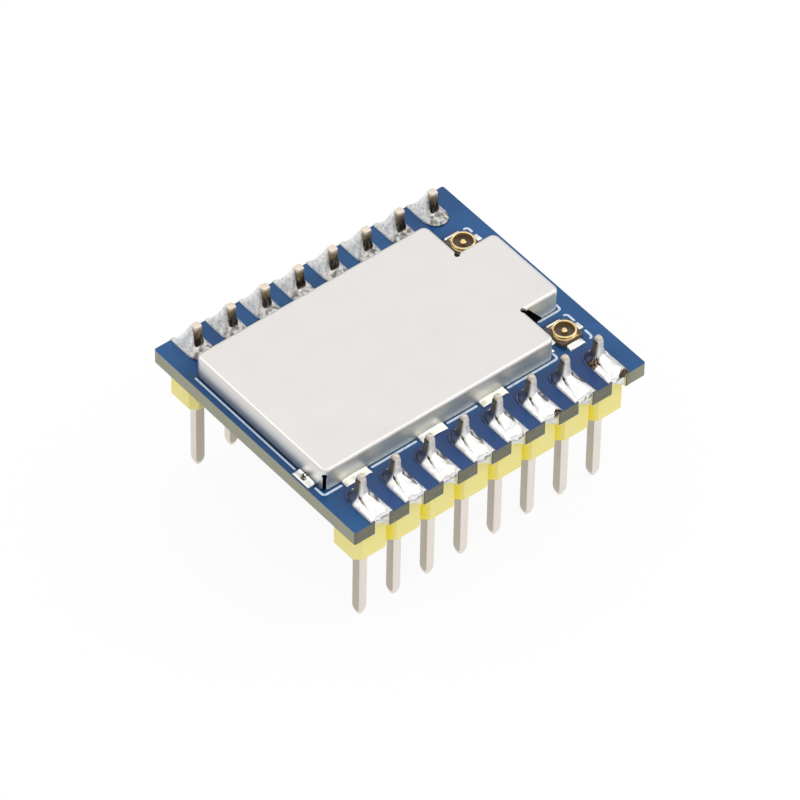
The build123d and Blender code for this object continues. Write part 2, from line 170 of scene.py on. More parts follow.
world = bpy.data.worlds.new("studio")
bpy.context.scene.world = world
world.use_nodes = True
sky = Nodes(world.node_tree)
sky_rise = sky.node("ShaderNodeTexCoord", {}, {}, "Generated").axis("Z").ramp(sky_rise_start, 1.0)
sky_strength = sky_rise * (sky_overhead - sky_at_horizon) + sky_at_horizon
sky_light = sky.node("ShaderNodeBackground", {}, {"Color": white, "Strength": sky_strength})
backdrop = sky.node("ShaderNodeBackground", {}, {"Color": white})
seen = sky.node("ShaderNodeLightPath", {}, {}, "Is Camera Ray")
sky_mix = sky.node("ShaderNodeMixShader", {}, {0: seen, 1: sky_light, 2: backdrop})
sky.show(sky_mix, "ShaderNodeOutputWorld")


def soft_lamp(name, place, watts):
    """A square area lamp at a place in metres, turned to face the module."""
    light = bpy.data.lights.new(name, "AREA")
    light.size = lamp_size
    light.energy = watts
    lamp = bpy.data.objects.new(name, light)
    facing = (lamp_aim - Vector(place)).to_track_quat("-Z", "Y")
    lamp.matrix_world = Matrix.Translation(place) @ facing.to_matrix().to_4x4()
    bpy.context.scene.collection.objects.link(lamp)


soft_lamp("key_lamp", (0.52, -0.26, 0.42), watts=1.1)
soft_lamp("back_lamp", (-0.20, 0.5, 0.45), watts=0.35)

floor_mesh = bpy.data.meshes.new("floor")
half = floor_size / 2
floor_corners = [(-half, -half, 0), (half, -half, 0), (half, half, 0), (-half, half, 0)]
floor_mesh.from_pydata(floor_corners, [], [(0, 1, 2, 3)])
floor = bpy.data.objects.new("floor", floor_mesh)
bpy.context.scene.collection.objects.link(floor)
floor_paint = bpy.data.materials.new("pale_floor")
floor_paint.use_nodes = True
floor_nodes = Nodes(floor_paint.node_tree)
lit = floor_nodes.node("ShaderNodeBsdfDiffuse", {}, {"Color": floor_grey})
glow = floor_nodes.node("ShaderNodeEmission", {}, {"Color": white})
direct, mirrored, through = (
    floor_nodes.node("ShaderNodeLightPath", {}, {}, f"Is {kind} Ray")
    for kind in ("Camera", "Glossy", "Transmission")
)
white_share = (direct + mirrored + through).ramp(0.0, 1.0) * floor_white_share
floor_mix = floor_nodes.node("ShaderNodeMixShader", {}, {0: white_share, 1: lit, 2: glow})
floor_nodes.show(floor_mix, "ShaderNodeOutputMaterial")
floor_mesh.materials.append(floor_paint)


# Circuit board. A fibreglass panel with blue solder mask on both faces and bare sawn edges.
# The mask is smooth and a little glossy. It is painted near black as painted shade where the can
# shuts out the light, with a soft painted shadow on it just outside the feet of the can's left wall
# and of its tongue's near wall, and it is darker along the near row. The long edges are dark routed
# fibre, the short paler.
class Paint(Nodes):
    """A material in the making, round one Principled shader."""

    def __init__(self, name, **uniform):
        self.material = bpy.data.materials.new(name)
        self.material.use_nodes = True
        super().__init__(self.material.node_tree)
        self.shader = self.tree.nodes.new("ShaderNodeBsdfPrincipled")
        self.show(Wire(self, self.shader.outputs[0]), "ShaderNodeOutputMaterial")
        for name, value in uniform.items():
            self.socket(name).default_value = value

    def socket(self, name):
        """The shader's input that a keyword such as specular_ior_level means."""
        return self.shader.inputs[name.replace("_", " ").title().replace("Ior", "IOR")]

    def feed(self, **wires):
        """Links patterns to the shader's sockets and gives the material."""
        for name, wire in wires.items():
            self.tree.links.new(wire.socket, self.socket(name))
        return self.material

    def place(self):
        """Object coordinates as a vector in millimetres."""
        here = self.node("ShaderNodeTexCoord", {}, {}, "Object")
        return self.node("ShaderNodeVectorMath", {"operation": "SCALE"}, {0: here, "Scale": 1 / mm})

    def axes(self):
        """Object coordinates as X, Y and Z in millimetres."""
        here = self.place()
        return here.axis("X"), here.axis("Y"), here.axis("Z")

    def noise(self, scale, detail=2.0, roughness=0.5, stretch=(1, 1, 1)):
        """Cloudy noise from 0 to 1, with scale features to the millimetre."""
        stretched = {0: self.place(), 1: stretch}
        here = self.node("ShaderNodeVectorMath", {"operation": "MULTIPLY"}, stretched)
        inputs = {"Vector": here, "Scale": scale, "Detail": detail, "Roughness": roughness}
        return self.node("ShaderNodeTexNoise", {}, inputs)

    def blend(self, mask, first, second):
        """The first colour where the mask is 0, the second where it is 1."""
        colours = [c if isinstance(c, Wire) else (*c, 1.0) for c in (first, second)]
        inputs = {0: mask, 6: colours[0], 7: colours[1]}
        return self.node("ShaderNodeMix", {"data_type": "RGBA"}, inputs, 2)

    def bump(self, height, depth_mm):
        """A relief of the given depth in millimetres."""
        inputs = {"Height": height, "Distance": depth_mm * mm, "Strength": 1.0}
        return self.node("ShaderNodeBump", {}, inputs)


def dress(names, material):
    """Gives CAD nodes one material in place of their plain one."""
    for name in names:
        nodes[name].data.materials.clear()
        nodes[name].data.materials.append(material)


board_low, board_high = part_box("circuit_board")
board_bottom = board_low.z / mm
board_top = board_high.z / mm
board_end = board_high.x / mm
board_side = board_high.y / mm
board_middle = (board_bottom + board_top) / 2
land_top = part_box("plated_lands")[1].z / mm
can_low, can_high = (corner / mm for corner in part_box("shield_can"))
sheet_thickness = 0.15
mask_blue = (0.003, 0.052, 0.165)
mask_blue_pale = (0.008, 0.080, 0.235)
# A darker blue for the mask along the near row, also painted as shade over the near lands' inner ends.
mask_blue_dark = (0.014, 0.038, 0.150)
mask_in_dark = (0.006, 0.010, 0.018)
long_edge = (0.130, 0.132, 0.095)
long_edge_pale = (0.175, 0.175, 0.130)
short_edge = (0.34, 0.34, 0.26)
mask_half_height = 0.485
body_near = can_low.y + sheet_thickness
body_far = can_high.y - sheet_thickness
body_right = 6.98
tongue_near, tongue_far, tongue_right = -2.885, 2.98, 9.68
blur = 0.02
wide_blur = 0.045

paint = Paint("board", specular_ior_level=0.38)
x, y, z = paint.axes()
on_face = abs(z - board_middle).ramp(mask_half_height, mask_half_height + 0.012)
on_upper_face = (z - board_middle).ramp(0.40, 0.45)
on_end = abs(x).ramp(board_end - 0.02, board_end - 0.005)
cloud = paint.noise(0.35)
grain = paint.noise(7.0)
layers = paint.noise(0.8, 3.0, 0.5, (1.5, 1.5, 14))
fibre = paint.blend(layers.ramp(0.3, 0.7), long_edge, long_edge_pale)
fibre = paint.blend(on_end * 0.85, fibre, short_edge)
fibre = paint.blend(x.ramp(8.6, 10.4) * 0.6, fibre, short_edge)
# Painted shade: near black under the can and its tongue, reaching a little past the tongue's near wall,
# and a soft painted shadow just outside the left wall's foot.
under_body = y.within(body_near, body_far, blur) * x.ramp(body_right + blur, body_right - blur)
under_tongue = y.ramp(tongue_near - wide_blur, tongue_near + wide_blur)
under_tongue = under_tongue * y.ramp(tongue_far + blur, tongue_far - blur)
under_tongue = under_tongue * x.ramp(tongue_right + blur, tongue_right - blur)
from_left_wall = x.ramp(can_low.x - 0.20, can_low.x) * 0.35 + x.ramp(can_low.x, can_low.x + 0.05) * 0.65
painted_can_shade = (under_body + under_tongue) * from_left_wall * on_upper_face
# The mask is darker along the near row, from the can out to the board's edge.
by_the_row = y.ramp(-5.9, -6.5) * abs(x).ramp(10.0, 9.4) * on_upper_face * 0.55
mask_colour = paint.blend((cloud * 0.8 + grain * 0.2).ramp(0.3, 0.7), mask_blue, mask_blue_pale)
mask_colour = paint.blend(by_the_row, mask_colour, mask_blue_dark)
mask_colour = paint.blend(painted_can_shade.ramp(0.0, 1.0), mask_colour, mask_in_dark)
board_paint = paint.feed(
    base_color=paint.blend(on_face, fibre, mask_colour),
    roughness=0.8 - on_face * 0.45 + (grain - 0.5) * 0.08,
    normal=paint.bump(grain * 0.3 + layers * (1.0 - on_face) * 1.2, 0.005),
)
dress(["circuit_board"], board_paint)


# Printed outlines. Pale ink lines on the board, round the can, the pads and the connectors. Each
# is a thin raised strip with rounded sides and ends, printed through a screen.
def middle_of(name):
    """The X and Y of the middle of a node's box, in millimetres."""
    low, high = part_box(name)
    return (low.x + high.x) / 2 / mm, (low.y + high.y) / 2 / mm


first_pin = middle_of("header_pin_near_1")
ink = (0.62, 0.70, 0.82)
ink_worn = (0.40, 0.50, 0.68)
ink_height = 0.014
ink_corner_cut = 0.22

paint = Paint("printed_ink", specular_ior_level=0.4)
wear = paint.noise(5.0, 3.0)
ink_paint = paint.feed(
    base_color=paint.blend(wear.ramp(0.45, 0.75), ink, ink_worn),
    roughness=0.55 + wear * 0.2,
    normal=paint.bump(wear, 0.004),
)


def piece(name, points, material, replaced=(), wrap_rows=False):
    """A smooth piece made from a grid of points in millimetres, that rides on the module.

    Its columns always wrap round. Points that fall together are welded, cells that a pole
    pinches become triangles, and the sign of the volume inside turns the faces outwards.
    """
    rows, columns = points.shape[:2]
    first_rows = np.arange(rows if wrap_rows else rows - 1)
    row, column = np.meshgrid(first_rows, np.arange(columns), indexing="ij")
    next_row = (row + 1) % rows
    next_column = (column + 1) % columns
    corners = [row * columns + column, next_row * columns + column]
    corners += [next_row * columns + next_column, row * columns + next_column]
    cells = np.stack(corners, -1).reshape(-1, 4)
    flat, welded = np.unique(np.round(points.reshape(-1, 3), 6), axis=0, return_inverse=True)
    cells = welded.ravel()[cells]
    a, b, c, d = (flat[cells[:, k]] for k in range(4))
    volume = np.sum(a * np.cross(b, c)) + np.sum(a * np.cross(c, d))
    if volume < 0:
        cells = cells[:, ::-1]
    pinched_first = cells[:, 0] == cells[:, 3]
    pinched_last = cells[:, 1] == cells[:, 2]
    faces = cells[~(pinched_first | pinched_last)].tolist()
    faces += cells[pinched_first & ~pinched_last][:, :3].tolist()
    faces += cells[pinched_last & ~pinched_first][:, [0, 1, 3]].tolist()
    mesh = bpy.data.meshes.new(name)
    mesh.from_pydata((flat * mm).tolist(), [], faces)
    mesh.shade_smooth()
    mesh.materials.append(material)
    thing = bpy.data.objects.new(name, mesh)
    bpy.context.scene.collection.objects.link(thing)
    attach(thing, "root")
    if replaced:
        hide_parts(*replaced)


def printed_line(name, corners, width=0.17):
    """A strip along a path through corners, measured from the first near pin.

    Each corner is rounded by a parabola. Every section is a flat ellipse, as wide as the line,
    whose lower half sinks in the board. It shrinks to a point at both ends like half a circle.
    """
    corners = np.array(corners, float) + first_pin
    path = [corners[0]]
    for before, corner, after in zip(corners, corners[1:], corners[2:]):
        way_in = (corner - before) / np.linalg.norm(corner - before)
        way_out = (after - corner) / np.linalg.norm(after - corner)
        t = np.linspace(0, 1, 9)[:, None]
        start, end = corner - way_in * ink_corner_cut, corner + way_out * ink_corner_cut
        path.extend(start * (1 - t) ** 2 + corner * 2 * t * (1 - t) + end * t ** 2)
    path.append(corners[-1])
    path = np.array(path)
    length = np.concatenate([[0], np.cumsum(np.linalg.norm(np.diff(path, axis=0), axis=1))])
    ends = width / 2 * (1 - np.cos(np.linspace(0, np.pi / 2, 7)))
    inner = np.arange(ends[-1], length[-1] - ends[-1], 0.1)
    along = np.concatenate([ends, inner[1:], length[-1] - ends[::-1]])
    place = np.stack([np.interp(along, length, path[:, k]) for k in range(2)], -1)
    way = np.gradient(place, along, axis=0)
    way /= np.linalg.norm(way, axis=1)[:, None]
    side = np.stack([way[:, 1], -way[:, 0]], -1)
    from_end = np.minimum(along, length[-1] - along) / (width / 2)
    size = np.sqrt(np.clip(1 - (1 - np.clip(from_end, 0, 1)) ** 2, 0, 1))
    around = np.linspace(0, 2 * np.pi, 16, endpoint=False)
    across = size[:, None] * np.cos(around) * width / 2
    points = np.empty((len(along), len(around), 3))
    points[..., :2] = place[:, None] + side[:, None] * across[..., None]
    points[..., 2] = board_top + size[:, None] * np.sin(around) * ink_height
    piece(name, points, ink_paint)


printed_line("ink_left", [(-1.57, 13.4), (-1.57, 4.05)], 0.13)
printed_line("ink_corner", [(-1.57, 2.25), (-1.57, 1.43), (-0.22, 1.43)])
printed_line("ink_near_1", [(1.95, 1.47), (5.35, 1.47)])
printed_line("ink_near_2", [(7.58, 1.47), (9.9, 1.47)])
printed_line("ink_near_3", [(12.15, 1.47), (16.02, 1.49), (16.02, 2.0)])
printed_line("ink_tongue", [(16.95, 4.46), (18.72, 4.46), (18.72, 5.1)])
printed_line("ink_near_connector_back", [(18.48, 3.96), (18.74, 3.96), (18.74, 3.2)], 0.16)
printed_line("ink_near_connector_front", [(18.74, 2.3), (18.74, 1.58), (18.5, 1.58)], 0.16)
printed_line("ink_far_connector", [(18.42, 13.12), (18.73, 13.12), (18.73, 12.62)], 0.16)


# Lands. Copper pads tinned by hot dipping: bright, very slightly wavy, duller in patches, brown
# in their half-holes. The near lands' inner ends are painted over in the mask's darker blue, as
# painted shade round the inner side of the pins, and the solder mask laps over the pads beyond
# the connectors' feet.
tin = (0.80, 0.79, 0.76)
tin_dull = (0.60, 0.59, 0.57)
barrel_brown = (0.11, 0.10, 0.065)
pitch = (middle_of("header_pin_near_8")[0] - first_pin[0]) / 7
near_row = first_pin[1]
far_row = middle_of("header_pin_far_1")[1]
coax_span = middle_of("coax_shell_far")[1] - middle_of("coax_shell_near")[1]
foot_pad_start, foot_pad_end = 1.11, 1.39
foot_pad_left, foot_pad_right = 7.825, 9.425

paint = Paint("tinned_copper")
x, y, z = paint.axes()
patches = paint.noise(2.5, 3.0)
inward = y - near_row
from_pin = x.wrapped(pitch)
from_pin = (from_pin * from_pin + inward * inward).ramp(0.6, 0.66)
# Painted shade: the near lands' inner ends take the mask's darker blue and lose their shine.
shaded_inner_end = from_pin * inward.ramp(0.0, 0.1) * inward.ramp(1.05, 1.03)
beyond_foot = y.wrapped(coax_span).within(foot_pad_start, foot_pad_end, 0.01)
beyond_foot = beyond_foot * x.within(foot_pad_left, foot_pad_right, 0.025)
masked_and_shaded = (shaded_inner_end + beyond_foot).ramp(0.0, 1.0)
cut_face = abs(y).ramp(board_side - 0.05, board_side - 0.03)
barrel = cut_face * z.ramp(board_bottom - 0.01, board_bottom + 0.02)
land_tone = paint.blend(patches.ramp(0.35, 0.75), tin, tin_dull)
land_tone = paint.blend(masked_and_shaded, land_tone, mask_blue_dark)
land_tone = paint.blend(barrel, land_tone, barrel_brown)
tin_paint = paint.feed(
    base_color=land_tone,
    metallic=1.0 - masked_and_shaded - barrel * 0.8,
    roughness=0.22 + patches * 0.2 + barrel * 0.3 + masked_and_shaded * 0.2,
    normal=paint.bump(paint.noise(5.0), 0.006),
)
dress(["plated_lands"], tin_paint)


# Header housings. Moulded yellow plastic with a fine matte skin. Its V-grooves are painted a
# deeper yellow as painted shade, and the deeper yellow also wanders faintly through the moulding.
plastic = (0.84, 0.755, 0.29)
plastic_deep_and_shaded = (0.88, 0.74, 0.03)

paint = Paint(
    "header_plastic", specular_ior_level=0.35, subsurface_weight=0.12, subsurface_scale=0.6 * mm
)
flow = paint.noise(0.8, 3.0, 0.5, (1, 1, 0.5))
x = paint.place().axis("X")
# Painted shade: a deeper yellow in and beside each V-groove.
from_groove = (x - pitch / 2).wrapped(pitch)
shaded_groove_faces = from_groove.ramp(-0.46, -0.34) * from_groove.ramp(0.42, 0.12) * abs(x).ramp(9.9, 9.7)
plastic_paint = paint.feed(
    base_color=paint.blend(shaded_groove_faces * 0.75 + flow.ramp(0.3, 0.9) * 0.25, plastic, plastic_deep_and_shaded),
    roughness=0.5 + paint.noise(6.0) * 0.12,
    normal=paint.bump(paint.noise(16.0), 0.003),
)
dress(["header_housing_near", "header_housing_far"], plastic_paint)


# Header pins. Square drawn wire under dull tin with softly rounded edges and coined, rounded
# lower points, whose left faces, and the far pins' inner faces, are darker in painted shade.
# Above the board the wire is thinner, stained brown by flux, and cut pale on top; painted shade
# darkens the far stubs lower down and the near stubs' left faces.
sides = ("near", "far")
numbers = range(1, 9)
pin_tin = (0.83, 0.77, 0.70)
pin_tin_shaded = (0.44, 0.39, 0.32)
cut_end = (0.80, 0.71, 0.61)
near_cut_end = (0.63, 0.57, 0.50)
stub_grey = (0.84, 0.81, 0.78)
flux_brown = (0.40, 0.29, 0.16)
# A dark flux stain, also painted as shade lower on the far stubs and on the near stubs' left faces.
dark_stain_and_shade = (0.035, 0.025, 0.018)
pin_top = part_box("header_pin_near_1")[1].z / mm
face_start, face_full = 0.235, 0.31
stub_face_start, stub_face_full = 0.17, 0.225

paint = Paint("pin_plating", metallic=1.0)
x, y, height = paint.axes()
across = x.wrapped(pitch)
in_far_row = y.ramp(-1.0, 1.0)
drawn = paint.noise(5.0, 2.0, 0.5, (4, 4, 0.12))
worn = paint.noise(3.0, 3.0)
runs = paint.noise(2.6, 3.0, 0.6, (2.2, 2.2, 0.5))
# Painted shade: below the board the pins' left faces, and the far pins' inner faces, take the shaded
# tin.
left_face = across.ramp(-face_start, -face_full) * (0.78 - in_far_row * 0.5)
inner_face = y.ramp(far_row - face_start, far_row - face_full) * in_far_row
shaded_faces = (left_face + inner_face).ramp(0.0, 1.0) * height.ramp(board_bottom, board_bottom - 0.5)
shank = paint.blend(shaded_faces, pin_tin, pin_tin_shaded)
shank = paint.blend(drawn.ramp(0.4, 0.75) * 0.12, shank, pin_tin_shaded)
below_top = height.ramp(pin_top - 0.10, pin_top - 0.30)
# Painted shade: the far stubs' brown stain turns dark lower down.
stain_and_shade = paint.blend((height + runs * 2.4).ramp(pin_top + 0.9, pin_top + 0.4), flux_brown, dark_stain_and_shade)
far_stub = paint.blend(below_top * (0.55 + runs * 0.6).ramp(0.5, 0.9), cut_end, stain_and_shade)
# Painted shade: the near stubs' left faces are dark.
shaded_left_of_stub = across.ramp(-stub_face_start, -stub_face_full)
shaded_left_of_stub = shaded_left_of_stub * height.ramp(pin_top - 0.1, pin_top - 0.4)
near_stub = paint.blend(below_top * 0.7, near_cut_end, stub_grey)
near_stub = paint.blend(shaded_left_of_stub, near_stub, dark_stain_and_shade)
above_board = height.ramp(board_top + 0.3, board_top + 0.6)
pin_paint = paint.feed(
    base_color=paint.blend(above_board, shank, paint.blend(in_far_row, near_stub, far_stub)),
    roughness=0.34 + worn * 0.12 + above_board * 0.14,
    normal=paint.bump(drawn * 0.25 + worn * 0.35 + runs * above_board * 1.5, 0.005),
)


def rounded_square(power, count=96):
    """Points round a unit superellipse: a circle at power 2, and square when it is high."""
    around = np.linspace(0, 2 * np.pi, count, endpoint=False)
    x, y = np.cos(around), np.sin(around)
    return np.stack([np.sign(x) * abs(x) ** (2 / power), np.sign(y) * abs(y) ** (2 / power)], -1)


def pin_points(side):
    """A pin about its own axis: rounded squares stacked along Z, closed to a point at each end.

    Each station is a height, a half width and the power of its superellipse. The upper ones
    are measured down from the pin's top, which is flat in the far row and domed in the near.
    """
    stations = [
        (0.0, 0.0, 2.2), (0.0, 0.07, 2.2), (0.03, 0.135, 2.4), (0.09, 0.18, 2.8), (0.2, 0.23, 3.2),
        (0.36, 0.275, 4.0), (0.52, 0.305, 5.5), (0.66, 0.318, 7.0), (0.9, 0.32, 8.0),
    ]
    neck = [(1.28, 0.32, 8.0), (1.1, 0.295, 7.0), (0.9, 0.26, 6.0)]
    flat_top = [
        (0.5, 0.252, 5.5), (0.07, 0.25, 5.0), (0.02, 0.243, 4.5), (0.005, 0.232, 4.2),
        (0.0, 0.22, 4.0), (0.0, 0.0, 4.0),
    ]
    domed_top = [
        (0.5, 0.258, 4.5), (0.28, 0.245, 3.6), (0.14, 0.215, 3.0), (0.05, 0.165, 2.6),
        (0.012, 0.10, 2.4), (0.0, 0.04, 2.2), (0.0, 0.0, 2.2),
    ]
    upper = neck + (flat_top if side == "far" else domed_top)
    stations += [(pin_top - depth, half, power) for depth, half, power in upper]
    sections = [(z, half * rounded_square(power)) for z, half, power in stations]
    return np.array([np.column_stack([section, np.full(len(section), z)]) for z, section in sections])


for side in sides:
    shape = pin_points(side)
    for number in numbers:
        name = f"header_pin_{side}_{number}"
        middle = np.array([*middle_of(name), 0])
        piece(f"visible_{name}", shape + middle, pin_paint, [name])


# Pin solder. Hand soldered: each joint is one frozen pool that fills its land, swells into a
# bright lobe towards the board's edge, hangs in the half-hole and climbs its pin. Flux has
# scorched brown in spots, each given by its place and its radius. The near joints' left flanks
# are painted dark blue and olive as painted shade and a painted reflection of the board, and a
# line in each near lobe's crease and a spot by each near pin's foot are painted shade in the
# scorched flux's colours.
solder_bright = (0.90, 0.90, 0.89)
solder_dull = (0.72, 0.71, 0.69)
solder_grey = (0.54, 0.53, 0.52)
solder_pool_grey = (0.66, 0.65, 0.63)
solder_deep_grey = (0.20, 0.19, 0.18)
# Colours of scorched flux, also painted as shade in the lobes' creases and by the near pins' feet.
brown_burn_and_shade = (0.26, 0.17, 0.10)
black_burn_and_shade = (0.035, 0.024, 0.016)
shaded_blue = (0.018, 0.040, 0.115)
olive_shade = (0.13, 0.115, 0.092)
land_half = 0.80
half_hole = 0.60
burnt_spots = [
    (9.35, -9.25, 9.72, 0.42),
    (8.29, -7.72, 10.02, 0.36),
    (4.32, -9.3, 9.75, 0.34),
    (6.9, -9.3, 9.8, 0.16),
    (-10.5, -4.15, 9.95, 0.22),
]

paint = Paint("solder", metallic=1.0)
lumps = paint.noise(2.4, 3.0)
speck = paint.noise(9.0, 3.0, 0.6)
mottle = paint.noise(6.0, 4.0, 0.7)
streaks = paint.noise(3.4, 2.0, 0.5, (1.0, 1.0, 0.4))
crumbs = paint.noise(7.0, 4.0, 0.8)
x, y, height = paint.axes()
across = x.wrapped(pitch)
outward = near_row - y
near_side = y.ramp(-6.3, -6.4)
far_side = y.ramp(6.6, 6.7)
by_the_can = y.ramp(7.9, 7.4)
far_pool = far_side * by_the_can
far_grain = far_side - far_pool * 0.95

pale = paint.blend(lumps.ramp(0.45, 0.75), solder_bright, solder_dull)
sheet_tone = paint.blend(mottle.ramp(0.46, 0.68), pale, solder_grey)
pool_tone = paint.blend(streaks.ramp(0.40, 0.62), solder_pool_grey, solder_deep_grey)
pale = paint.blend(far_side, pale, paint.blend(by_the_can, sheet_tone, pool_tone))

climbing = height.ramp(land_top + 0.45, land_top + 0.9)
# Painted shade and reflection: the near joints' left flanks are dark blue low down and olive higher up.
shaded_left_flank = across.ramp(-0.06, -0.2) * outward.ramp(0.32, 0.12) * near_side
shaded_flank_tone = paint.blend(climbing, shaded_blue, olive_shade)
cut_top = height.ramp(pin_top - 0.5, pin_top - 0.25) * near_side * 0.8
pale = paint.blend(cut_top * (1.0 - shaded_left_flank), pale, cut_end)
pale = paint.blend(shaded_left_flank * (0.86 + lumps * 0.14), pale, shaded_flank_tone)

# Painted shade: a dark line along each near lobe's crease, and a dark spot by each near pin's foot.
crease_shade = abs(across + 0.33 + outward * 0.12).ramp(0.045, 0.015)
crease_shade = crease_shade * outward.ramp(0.22, 0.28) * outward.ramp(0.95, 0.6) * near_side
foot_x = across + 0.31
foot_y = outward - 0.36
foot_shade = (foot_x * foot_x + foot_y * foot_y).ramp(0.020, 0.006) * near_side
foot_shade = foot_shade * height.ramp(land_top + 0.62, land_top + 0.42)
burnt_and_shaded = speck.ramp(0.62, 0.72) * lumps.ramp(0.5, 0.6) * far_side * 0.7
for spot_x, spot_y, spot_z, radius in burnt_spots:
    off_x = x - spot_x
    off_y = y - spot_y
    off_z = height - spot_z
    off = off_x * off_x + off_y * off_y + off_z * off_z + (crumbs - 0.5) * 0.45
    burnt_and_shaded = burnt_and_shaded + off.ramp(radius ** 2, radius ** 2 * 0.6)
burnt_and_shaded = (burnt_and_shaded + crease_shade * 0.85 + foot_shade).ramp(0.0, 1.0)
burnt_and_shade_tone = paint.blend(crumbs.ramp(0.58, 0.46), brown_burn_and_shade, black_burn_and_shade)

frozen = lumps * 0.4 + speck * (0.03 + far_grain * 0.35) + mottle * far_grain * 0.25
dulled = far_grain * 0.2 + far_pool * 0.3 + (burnt_and_shaded + shaded_left_flank) * 0.25 + climbing * near_side * 0.3
solder_paint = paint.feed(
    base_color=paint.blend(burnt_and_shaded, pale, burnt_and_shade_tone),
    roughness=0.16 + lumps * 0.08 + dulled,
    normal=paint.bump(frozen, 0.018),
)


def ripples(seed, x, y, finest):
    """A smooth irregular field of about -1 to 1: nine plane waves of seeded way and length."""
    random = np.random.default_rng(seed)
    ways = random.uniform(0, 6.28, 9)
    phases = random.uniform(0, 6.28, 9)
    lengths = finest * random.uniform(1, 4, 9)
    field = 0
    for way, phase, length in zip(ways, phases, lengths):
        field = field + np.sin((x * np.cos(way) + y * np.sin(way)) * 6.28 / length + phase)
    return field / 4


def land_outline(inner_centre, reach):
    """The edge of a land round its pin: a side, the board's edge, a side and a half-circle."""
    out = np.linspace(inner_centre, reach, 30, endpoint=False)
    back = np.linspace(reach, inner_centre, 30, endpoint=False)
    edge = np.linspace(land_half, -land_half, 40, endpoint=False)
    turn = np.linspace(np.pi, 2 * np.pi, 44, endpoint=False)
    right = np.column_stack([np.full(30, land_half), out])
    outer = np.column_stack([edge, np.full(40, reach)])
    left = np.column_stack([np.full(30, -land_half), back])
    inner = np.column_stack([land_half * np.cos(turn), inner_centre + land_half * np.sin(turn)])
    return np.concatenate([right, outer, left, inner])


def joint_points(side, number, reach):
    """One joint in its own frame: u along the row, v outward to the board's edge, z from the land.

    Columns run round the pin, each to a point of the land's outline. Rows leave the pin, run
    over the top, down the rim and back underneath. The height is the sum of a film and a cone
    that die away from the pin, steeper in the near row, and a lens that arches over the land.
    """
    near = side == "near"
    seed = number * 7 + (0 if near else 300)
    random = np.random.default_rng(seed)
    turned_away = random.uniform(3.3, 3.6) if near else random.uniform(1.7, 1.95)
    height_share = random.uniform(0.95, 1.15)
    steepness = 4.5 if near else random.uniform(1.5, 1.75)
    inner_centre = 0.0 if near else -0.33
    film, film_away = (0.95, -0.25) if near else (0.05, 0.15)
    cone, cone_away = (0.12, 0.90) if near else (0.05, 1.6)
    crest, crest_at_edge = (0.42, 0.22) if near else (0.30, 0.14)
    height_limit = 1.5 if near else 1.78
    crease_depth = 0.06 if near else 0.0
    pin_half, pin_squareness = 0.235, 5.0
    film_reach = 0.045
    crease_width = 0.055
    ripple_height = 0.022
    hang_depth = 0.22
    sunk_rim = 0.012

    u, v = land_outline(inner_centre, reach).T
    in_notch = np.clip((half_hole - abs(u)) / 0.12, 0, 1) * np.clip((v - reach + 0.4) / 0.3, 0, 1)
    shrink = 0.985 - 0.012 * ripples(seed + 1, u, v, 0.35)
    drawn_in = in_notch * (0.09 + 0.06 * ripples(seed + 2, u, v, 0.3))
    u, v = u * shrink, v * shrink - drawn_in

    angle = np.arctan2(v, u)
    corner = abs(np.cos(angle)) ** pin_squareness + abs(np.sin(angle)) ** pin_squareness
    start = pin_half / corner ** (1 / pin_squareness)
    share = np.linspace(0, 1, 56)[:, None] ** 2.4
    distance = (np.hypot(u, v) - start) * share
    radius = start + distance
    u, v = radius * np.cos(angle), radius * np.sin(angle)

    away = (0.5 + 0.5 * np.cos(angle - turned_away)) ** 1.6
    film = film + film_away * away
    cone = (cone + cone_away * away * height_share) * (1 - share) ** steepness
    round_end = np.sqrt(np.clip(land_half ** 2 - (v - inner_centre) ** 2, 1e-6, 1))
    half = np.where(v < inner_centre, round_end, land_half)
    ridge = crest + (crest_at_edge - crest) * np.clip(v / reach, 0, 1) ** 1.2
    lens = ridge * np.clip(1 - (u / half) ** 2, 0, 1) ** 0.62
    lens *= np.clip((land_half - inner_centre + v) / 0.55, 0, 1) ** 0.6
    height = lens + cone + film * np.exp(-distance / film_reach)
    height = np.minimum(height, height_limit)

    crease = np.exp(-((u + 0.36 + 0.1 * v) / crease_width) ** 2)
    crease *= np.clip(v / 0.5, 0, 1)
    crease *= np.clip((reach - v) / 0.5, 0, 1)
    height -= crease_depth * crease
    inside = np.clip((1 - share) / 0.25, 0, 1)
    height += ripple_height * ripples(seed + 3, u, v, 0.5) * inside * np.clip(distance / 0.15, 0, 1)
    hang = in_notch * np.clip((share - 0.6) / 0.4, 0, 1) ** 2.5
    height -= hang * hang_depth
    sunk = np.clip((half_hole - np.hypot(u, v - reach)) / 0.05, 0, 1)
    under = -sunk_rim - sunk * (0.40 + 0.10 * ripples(seed + 4, u, v, 0.25))
    height = np.maximum(height, under + 0.014)
    top = np.stack([u, v, height], -1)
    bottom = np.stack([u, v, under], -1)[::-3]
    return np.concatenate([top, bottom])


for side in sides:
    way = -1 if side == "near" else 1
    edge = board_low.y / mm if side == "near" else board_high.y / mm
    for number in numbers:
        middle_x, middle_y = middle_of(f"header_pin_{side}_{number}")
        local = joint_points(side, number, abs(edge - middle_y) - 0.02)
        points = np.empty_like(local)
        points[..., 0] = middle_x + local[..., 0]
        points[..., 1] = middle_y + way * local[..., 1]
        points[..., 2] = land_top + local[..., 2]
        name = f"solder_joint_{side}_{number}"
        piece(f"visible_{name}", points, solder_paint, [name], wrap_rows=True)


